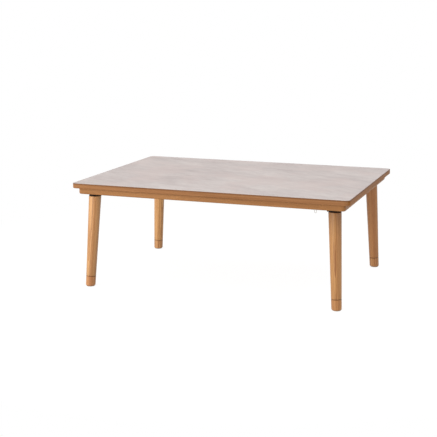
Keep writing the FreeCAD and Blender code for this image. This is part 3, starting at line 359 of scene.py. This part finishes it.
def quartz_glass():
    """Reddish glass with a haze drawn out along the tube."""
    haze_scale = (400.0, 30.0, 400.0)
    graph = material_graph("quartz")
    haze = graph.noise(graph.place(), haze_scale, detail=3)
    graph.set(Base_Color=graph.blend(haze, tone(214, 120, 84), tone(190, 92, 60)))
    graph.set(Roughness=graph.remap(haze, WIDE_SPAN, (0.06, 0.14)), Transmission_Weight=0.8)
    return graph.owner


def felt():
    """Dark matted fibres of the pads."""
    fuzz_scale = 1400
    graph = material_graph("soft_pad")
    fuzz = graph.noise(graph.place(), fuzz_scale, detail=4)
    colour = graph.blend(fuzz, tone(58, 52, 48), tone(88, 80, 74))
    graph.set(Base_Color=colour, Roughness=0.95)
    graph.bump(fuzz, depth=0.2 * MM)
    return graph.owner


# Slots of powder coat, paint, glaze or plastic
COATED_SLOTS = {
    "black_steel": dict(light=tone(40, 22, 12), dark=tone(26, 14, 7), roughness=0.62, gloss=0.1),
    "glide_plastic": dict(light=tone(166, 138, 112), dark=tone(146, 120, 96), roughness=0.55),
    "housing_steel": dict(light=tone(188, 190, 192), dark=tone(168, 170, 172), roughness=0.38,
                          skin_scale=220.0, metal=0.8),
    "ceramic": dict(light=tone(238, 234, 224), dark=tone(224, 219, 206), roughness=0.5),
    "guard_wire": dict(light=tone(62, 61, 60), dark=tone(46, 45, 44), roughness=0.42),
    "motor_case": dict(light=tone(96, 96, 98), dark=tone(80, 80, 82), roughness=0.42, metal=0.6),
    "black_plastic": dict(light=tone(44, 44, 45), dark=tone(34, 34, 35), roughness=0.5),
    "grey_plastic": dict(light=tone(226, 224, 220), dark=tone(214, 212, 207), roughness=0.5),
}
# Slots of bare metal
BRUSHED_SLOTS = {
    "spring_steel": dict(light=tone(196, 198, 202), dark=tone(160, 162, 166), roughness=0.28),
    "zinc_steel": dict(light=tone(208, 208, 200), dark=tone(172, 172, 162), roughness=0.34),
    "reflector_bright": dict(light=tone(238, 238, 240), dark=tone(220, 220, 222), roughness=0.16,
                             line_scale=(900.0, 30.0, 900.0)),
    "fan_metal": dict(light=tone(216, 216, 218), dark=tone(190, 190, 192), roughness=0.3,
                      line_scale=(500.0, 500.0, 500.0)),
}


def make_slot_materials():
    """One material for each slot whose look doesn't depend on a grain's direction."""
    made = {
        "mortar_laminate": mortar_laminate(),
        "edge_wood": edge_band(),
        "board": particle_board(),
        "backing": backing_sheet(),
        "soft_pad": felt(),
        "quartz": quartz_glass(),
    }
    made |= {slot: coated(slot, **look) for slot, look in COATED_SLOTS.items()}
    made |= {slot: brushed(slot, **look) for slot, look in BRUSHED_SLOTS.items()}
    return made


def late_wood(graph, local, pith, ring):
    """Growth rings round a pith, each from 0 at its pale start to 1 at its dark end."""
    warp_scale = (2.2, 16.0, 16.0)
    rings_of_warp = 7.0
    steepness = 2.5
    warp = graph.noise(local, warp_scale, detail=3)
    across = graph.vector("MULTIPLY", local, (0.0, 1.0, 1.0))
    reach = graph.length(graph.vector("SUBTRACT", across, (0.0, *pith)))
    rings = graph.layered((reach, 1 / ring), (warp, rings_of_warp))
    return graph.number("POWER", graph.number("FRACT", rings), steepness)


def painted_seam_shade(graph, colour, darkening, along_grain, seam):
    """Colour with painted shade in the groove of a seam that runs across the grain."""
    # How far from the middle of the seam its painted shade is whole, and how far it is gone
    seam_span = (0.8 * MM, 1.7 * MM)
    most_darkening = 0.75
    off_seam = graph.number("ABSOLUTE", graph.number("SUBTRACT", along_grain, seam))
    share = graph.remap(off_seam, seam_span, (most_darkening, 0.0))
    return graph.blend(share, colour, darkening)


def wood(name, start, along, tones, pith, tint=NO_TINT, ring=3.2 * MM, roughness=0.44,
         gloss=0.5, contrast=1.0, shift=0.0, seam=None, darker_ends=()):
    """Satin wood whose grain runs from a point in a direction.

    pith is where the growth rings centre, across the grain from that point, and ring is
    how wide one is. shift picks another stretch of the same grain. seam is how far along
    the grain a groove lies, with painted shade in it. Each of the darker ends says where
    along the grain the colour starts to darken, where it is darkest, and by how much; the
    legs darken towards their feet with one, and the other is painted shadow of the frame
    and top below their tops.
    """
    streak_scale = (3.0, 130.0, 130.0)
    streak_band_scale = (1.6, 34.0, 34.0)
    fibre_scale = (70.0, 1900.0, 1900.0)
    pore_scale = (160.0, 2600.0, 2600.0)
    middle = 0.75
    half_span = 0.275 / contrast
    pore_span = (0.64, 0.74)
    most_pore = 0.35
    rough_span = (roughness - 0.05, roughness + 0.07)
    light, dark = (tinted(colour, tint) for colour in tones)
    shade = shaded(dark, 0.5)
    graph = material_graph(name)
    turn = Vector(along).to_track_quat("X", "Z").to_euler()
    inputs = {"Vector": graph.place(), "Location": start, "Rotation": turn}
    local = graph.add("Mapping", inputs, vector_type="TEXTURE").outputs[0]
    late = late_wood(graph, local, pith, ring)
    cut = graph.vector("ADD", local, (0.0, shift, shift))
    streaks = graph.noise(cut, streak_scale, detail=3, roughness=0.55)
    bands = graph.noise(cut, streak_band_scale, detail=2)
    fibres = graph.noise(local, fibre_scale, detail=2)
    pores = graph.noise(local, pore_scale, detail=1)
    share = graph.layered((late, 0.30), (streaks, 0.55), (bands, 0.45), (fibres, 0.30))
    share = graph.remap(share, (middle - half_span, middle + half_span))
    colour = graph.blend(share, light, dark)
    along_grain = graph.add("SeparateXYZ", {0: local}).outputs["X"]
    # Darker towards the ends given; on the legs the top end is painted shadow of the frame and
    # top
    for fair, darkest, amount in darker_ends:
        share = graph.remap(along_grain, (fair, darkest), (0.0, amount))
        colour = graph.blend(share, colour, shade)
    holes = graph.remap(pores, pore_span, (0.0, most_pore))
    colour = graph.blend(holes, colour, shade)
    if seam is not None:
        # Painted shade in the groove where a leg meets its foot
        colour = painted_seam_shade(graph, colour, shaded(dark, 0.22), along_grain, seam)
    graph.set(Base_Color=colour, Specular_IOR_Level=gloss)
    graph.set(Roughness=graph.remap(fibres, WIDE_SPAN, rough_span))
    dips = graph.number("MULTIPLY", graph.number("ADD", fibres, late), -0.5)
    graph.bump(dips, depth=0.08 * MM, strength=0.5)
    return graph.owner


def middle_of(name):
    """Middle of a node's box."""
    low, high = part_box(name)
    return (low + high) / 2


def leg_axis(corner):
    """A leg's axis: its point on the floor, its direction, and its length to the frame."""
    foot = middle_of(f"{corner}_glide")
    foot.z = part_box(f"{corner}_glide")[0].z
    low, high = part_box(f"{corner}_folding_bracket")
    radius = (high.y - low.y) / 2
    x = low.x + radius if foot.x < 0 else high.x - radius
    top = Vector((x, (low.y + high.y) / 2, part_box("front_rail")[0].z))
    return foot, (top - foot).normalized(), (top - foot).length


def extent_on_axis(name, foot, up):
    """How far along an axis a node starts and ends, and its radius about the axis."""
    offsets = [vertex.co - foot for vertex in nodes[name].data.vertices]
    heights = [offset.dot(up) for offset in offsets]
    radius = max((offset - up * offset.dot(up)).length for offset in offsets)
    return min(heights), max(heights), radius


def rail_materials():
    """Wood of the frame's four rails."""
    made = {}
    for name, along, pith, tint in (
        ("front_rail", ALONG_X, (0.05, -0.11), NO_TINT),
        ("back_rail", ALONG_X, (-0.04, 0.12), NO_TINT),
        ("left_rail", ALONG_Y, (0.06, -0.10), END_TINT),
        ("right_rail", ALONG_Y, (-0.05, -0.12), END_TINT),
    ):
        made[name] = wood(f"frame_wood_{name}", middle_of(name), along, FRAME_TONES, pith, tint,
                          gloss=0.15)
    return made


def inner_materials():
    """Pale, dull wood of the crossbars and of the dowels."""
    roughness = 0.7
    made = {}
    for name in ("left_crossbar", "right_crossbar"):
        made[name] = wood(f"inner_wood_{name}", middle_of(name), ALONG_Y, PINE_TONES,
                          pith=(0.03, 0.05), ring=5 * MM, roughness=roughness)
    made["frame_dowels"] = wood("inner_wood_dowels", Vector(), ALONG_Y, PINE_TONES,
                                pith=(0.4, 0.3), roughness=roughness)
    return made


def leg_materials():
    """Wood of the legs and their feet, with painted shade in the groove where the two meet."""
    ring = 3.6 * MM
    # How far from its foot a leg darkens, and how far below its top the painted shadow of the
    # frame and top reaches
    foot_reach = 0.09
    top_shadow_reach = 0.10
    made = {}
    for corner in CORNERS:
        foot, up, length = leg_axis(corner)
        seam = extent_on_axis(f"{corner}_extension_foot", foot, up)[1]
        side = math.copysign(1, foot.x)
        shift = LEG_GRAIN_SHIFTS[corner]
        foot_amount, top_shadow_amount = LEG_DARKER_ENDS[corner]
        # Darker towards the foot, and painted shadow of the frame and top below the top
        ends = ((seam + foot_reach, seam, foot_amount), (length - top_shadow_reach, length, top_shadow_amount))
        made[f"{corner}_leg"] = wood(
            f"leg_wood_{corner}", foot, up, LEG_TONES, pith=(0.045 * side, 0.06),
            tint=LEG_TINTS[corner], ring=ring, roughness=0.40, contrast=1.8, shift=shift,
            seam=seam, darker_ends=ends,
        )
        made[f"{corner}_extension_foot"] = wood(
            f"foot_wood_{corner}", foot, up, FOOT_TONES, pith=(-0.035 * side, 0.05),
            tint=FOOT_TINTS[corner], ring=ring, roughness=0.42, contrast=2.4, shift=shift,
            seam=seam,
        )
    return made


def dress_nodes():
    """Give each solid its own grain, or else the material of its slot."""
    grain_materials = rail_materials() | inner_materials() | leg_materials()
    for part in frame["record"]["subparts"]:
        chosen = grain_materials.get(part["node"]) or slot_materials[part["material_slot"]]
        shown = nodes[part["node"]]
        shown.data.materials.clear()
        shown.data.materials.append(chosen)


def add_object(name, data):
    """New object in the scene."""
    made = bpy.data.objects.new(name, data)
    bpy.context.scene.collection.objects.link(made)
    return made


def add_piece(name, data, body, slot):
    """New piece of the table, which rides on a body and has a slot's material."""
    data.materials.append(slot_materials[slot])
    piece = add_object(name, data)
    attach(piece, body)
    return piece


def surface_of(rings):
    """Points and faces of the closed skin over rings that have the same count of points."""
    count = len(rings[0])
    points = [point for ring in rings for point in ring]
    faces = []
    for row in range(len(rings) - 1):
        for step in range(count):
            near = row * count + step
            after = row * count + (step + 1) % count
            faces.append((near, after, after + count, near + count))
    faces.append(tuple(range(count))[::-1])
    faces.append(tuple(range(len(points) - count, len(points))))
    return points, faces


def thread_rings(foot, up, low, high, radius):
    """Rings of points round a threaded shank on an axis, tapered at both its ends."""
    pitch = 1.25 * MM
    depth = 0.7 * MM
    taper = radius / 4
    sides = 24
    rows_per_turn = 6
    across = up.orthogonal().normalized()
    around = up.cross(across)
    rows = round((high - low) / pitch * rows_per_turn)
    rings = []
    for row in range(rows + 1):
        height = low + (high - low) * row / rows
        lead_in = min(1.0, (high - height) / radius, (height - low) / radius)
        ring = []
        for step in range(sides):
            phase = (height / pitch - step / sides) % 1
            crest = 1 - abs(2 * phase - 1)
            reach = radius - depth + depth * crest * max(lead_in, 0)
            reach -= (1 - lead_in) * taper
            angle = math.tau * step / sides
            outward = across * math.cos(angle) + around * math.sin(angle)
            ring.append(foot + up * height + outward * reach)
        rings.append(ring)
    return rings


def make_threaded_bolts():
    """Foot bolts with their thread cut."""
    for corner in CORNERS:
        bolt = f"{corner}_foot_bolt"
        name = f"{corner}_threaded_bolt"
        foot, up = leg_axis(corner)[:2]
        points, faces = surface_of(thread_rings(foot, up, *extent_on_axis(bolt, foot, up)))
        mesh = bpy.data.meshes.new(name)
        mesh.from_pydata(points, [], faces)
        mesh.validate()
        mesh.shade_smooth()
        piece = add_piece(name, mesh, f"{corner}_foot_unit", "zinc_steel")
        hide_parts(bolt)


def screw_heads(name):
    """Centre of each upright screw of a node, at the face of its head."""
    # More than the width of one screw, and less than the gap between two
    spread = 9 * MM
    groups = []
    for vertex in nodes[name].data.vertices:
        for group in groups:
            if (vertex.co - group[0]).xy.length < spread:
                group.append(vertex.co.copy())
                break
        else:
            groups.append([vertex.co.copy()])
    heads = []
    for group in groups:
        across = [point.x for point in group]
        along = [point.y for point in group]
        centre = (min(across) + max(across)) / 2, (min(along) + max(along)) / 2
        heads.append(Vector((*centre, min(point.z for point in group))))
    return heads


def cross_ring(centre, turn, reach, half_width, level):
    """Outline of a cross recess at a level above the centre."""
    points = []
    for quarter in range(4):
        arm = turn + math.tau * quarter / 4
        out = Vector((math.cos(arm), math.sin(arm), 0))
        side = Vector((-out.y, out.x, 0))
        points.append(centre + out * reach - side * half_width)
        points.append(centre + out * reach + side * half_width)
        points.append(centre + (out + side) * half_width)
    return [point + Vector((0, 0, level)) for point in points]


def recess_cutter(heads):
    """Mesh that cuts a tapered cross recess into each of some screw heads."""
    reach = 2.3 * MM
    half_width = 0.55 * MM
    depth = 1.4 * MM
    proud = 0.3 * MM
    taper = 0.5
    turn_from_last = 0.7
    points = []
    faces = []
    for count, head in enumerate(heads):
        turn = turn_from_last * count
        rings = (cross_ring(head, turn, reach, half_width, -proud),
                 cross_ring(head, turn, reach * taper, half_width * taper, depth))
        cutter_points, cutter_faces = surface_of(rings)
        faces += [tuple(len(points) + spot for spot in face) for face in cutter_faces]
        points += cutter_points
    mesh = bpy.data.meshes.new("recess_cutter")
    mesh.from_pydata(points, [], faces)
    return mesh


def welded(mesh):
    """Copy of a mesh with its doubled points joined."""
    joined = mesh.copy()
    weld = bmesh.new()
    weld.from_mesh(joined)
    bmesh.ops.remove_doubles(weld, verts=weld.verts, dist=0.001 * MM)
    weld.to_mesh(joined)
    weld.free()
    return joined


def carved(mesh, cutter_mesh):
    """What is left of a mesh when a cutter is taken out of it."""
    cutter = add_object("recess_cutter", cutter_mesh)
    blank = add_object("screw_blank", mesh)
    recess = blank.modifiers.new("recess", "BOOLEAN")
    recess.object = cutter
    recess.solver = "EXACT"
    bpy.context.view_layer.update()
    evaluated = blank.evaluated_get(bpy.context.evaluated_depsgraph_get())
    left = bpy.data.meshes.new_from_object(evaluated)
    for helper in (cutter, blank):
        bpy.data.objects.remove(helper)
    return left


def make_recessed_screws():
    """Screws with a cross recess cut into each head."""
    for name in ("heater_screws", "base_plate_screws", "cord_hook_screws"):
        mesh = carved(welded(nodes[name].data), recess_cutter(screw_heads(name)))
        mesh.shade_flat()
        mesh.materials.clear()
        piece = add_piece(f"recessed_{name}", mesh, "frame", "zinc_steel")
        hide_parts(name)


def make_heating_coils():
    """Thin helix inside each quartz tube."""
    wire_radius = 0.35 * MM
    coil_radius = 3.2 * MM
    pitch = 3.0 * MM
    margin = 8 * MM
    steps_per_turn = 12
    low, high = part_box("heating_tubes")
    tube_radius = (high.z - low.z) / 2
    length = high.y - low.y - 2 * margin
    steps = round(length / pitch * steps_per_turn)
    for side, x in (("left", low.x + tube_radius), ("right", high.x - tube_radius)):
        name = f"{side}_heating_coil"
        curve = bpy.data.curves.new(name, "CURVE")
        curve.dimensions = "3D"
        curve.bevel_depth = wire_radius
        curve.bevel_resolution = 1
        curve.use_fill_caps = True
        helix = curve.splines.new("POLY")
        helix.points.add(steps)
        for step in range(steps + 1):
            angle = math.tau * step / steps_per_turn
            y = low.y + margin + length * step / steps
            z = low.z + tube_radius + coil_radius * math.sin(angle)
            helix.points[step].co = (x + coil_radius * math.cos(angle), y, z, 1)
        add_piece(name, curve, "frame", "spring_steel")


def view_share(graph):
    """1 on the rays that see the background directly, in metal or through glass."""
    path = graph.add("LightPath", {}).outputs
    share = graph.number("ADD", path["Is Camera Ray"], path["Is Glossy Ray"])
    share = graph.number("ADD", share, path["Is Transmission Ray"])
    return graph.remap(share, (0.0, 1.0))


def make_floor():
    """Pale floor that shows white and keeps a light shadow near the table."""
    reach = 30.0
    gap = 0.1 * MM
    bounce_grey = grey(0.6)
    shadow_grey = grey(0.2)
    # How far from its middle the floor's shadow starts to fade, and how far it is gone
    fade_span = (0.6, 1.5)
    glow_span = (0.90, 1.0)
    graph = material_graph("studio_floor")
    graph.nodes.remove(graph.nodes["Principled BSDF"])
    bounce = graph.add("BsdfDiffuse", {"Color": bounce_grey}).outputs[0]
    fade = graph.remap(graph.length(graph.place()), fade_span)
    catcher = graph.blend(fade, shadow_grey, grey(0.0))
    shadow = graph.add("BsdfDiffuse", {"Color": catcher}).outputs[0]
    glow_level = graph.remap(fade, (0.0, 1.0), glow_span)
    glow = graph.add("Emission", {"Strength": glow_level}).outputs[0]
    seen = graph.add("AddShader", {0: shadow, 1: glow}).outputs[0]
    mixed = graph.add("MixShader", {0: view_share(graph), 1: bounce, 2: seen}).outputs[0]
    graph.feed(graph.nodes["Material Output"].inputs["Surface"], mixed)
    level = cad_low.z - gap
    spots = [(-reach, -reach, level), (reach, -reach, level), (reach, reach, level),
             (-reach, reach, level)]
    mesh = bpy.data.meshes.new("studio_floor")
    mesh.from_pydata(spots, [], [(0, 1, 2, 3)])
    mesh.materials.append(graph.owner)
    floor = add_object("studio_floor", mesh)


def make_world():
    """White surroundings, at a lower level where they light the table."""
    ambient = 0.56
    graph = Graph(bpy.data.worlds.new("studio"))
    background = graph.nodes["Background"].inputs
    graph.feed(background["Color"], grey(1.0))
    strength = graph.remap(view_share(graph), (0.0, 1.0), (ambient, 1.0))
    graph.feed(background["Strength"], strength)
    bpy.context.scene.world = graph.owner


def add_lamp(name, place, aim, side, level):
    """Square soft lamp that lights a white surface facing it to a level."""
    away = Vector(place) - Vector(aim)
    data = bpy.data.lights.new(name, "AREA")
    data.size = side
    data.energy = level * math.pi ** 2 * away.length_squared
    lamp = add_object(name, data)
    lamp.location = place
    lamp.rotation_euler = away.to_track_quat("Z", "Y").to_euler()


def make_camera():
    """Camera at the photograph's place, fitted to the table's corners and legs."""
    place = (1.2736, -3.7554, 1.0538)
    azimuth = math.radians(19.817)
    elevation = math.radians(11.734)
    across = math.cos(elevation)
    away = Vector((math.sin(azimuth) * across, -math.cos(azimuth) * across, math.sin(elevation)))
    data = bpy.data.cameras.new("photo_camera")
    data.lens = 85.37
    data.sensor_width = 36
    camera = add_object("photo_camera", data)
    camera.location = place
    camera.rotation_euler = (-away).to_track_quat("-Z", "Y").to_euler()
    bpy.context.scene.camera = camera


slot_materials = make_slot_materials()
dress_nodes()
make_threaded_bolts()
make_recessed_screws()
make_heating_coils()

make_floor()
make_world()
add_lamp("key", place=(-2.3, -1.8, 0.95), aim=(-0.1, 0, 0.3), side=1.4, level=0.33)
add_lamp("side", place=(2.6, -1.4, 0.8), aim=(0.2, 0, 0.3), side=1.2, level=0.12)
add_lamp("fill", place=(-1.3, -4.0, 1.1), aim=(0, 0, 0.25), side=2.2, level=0.42)
add_lamp("overhead", place=(0.3, 0.2, 2.6), aim=(0, 0, 0.4), side=2.4, level=0.22)
make_camera()
bpy.context.scene.view_settings.view_transform = "Standard"
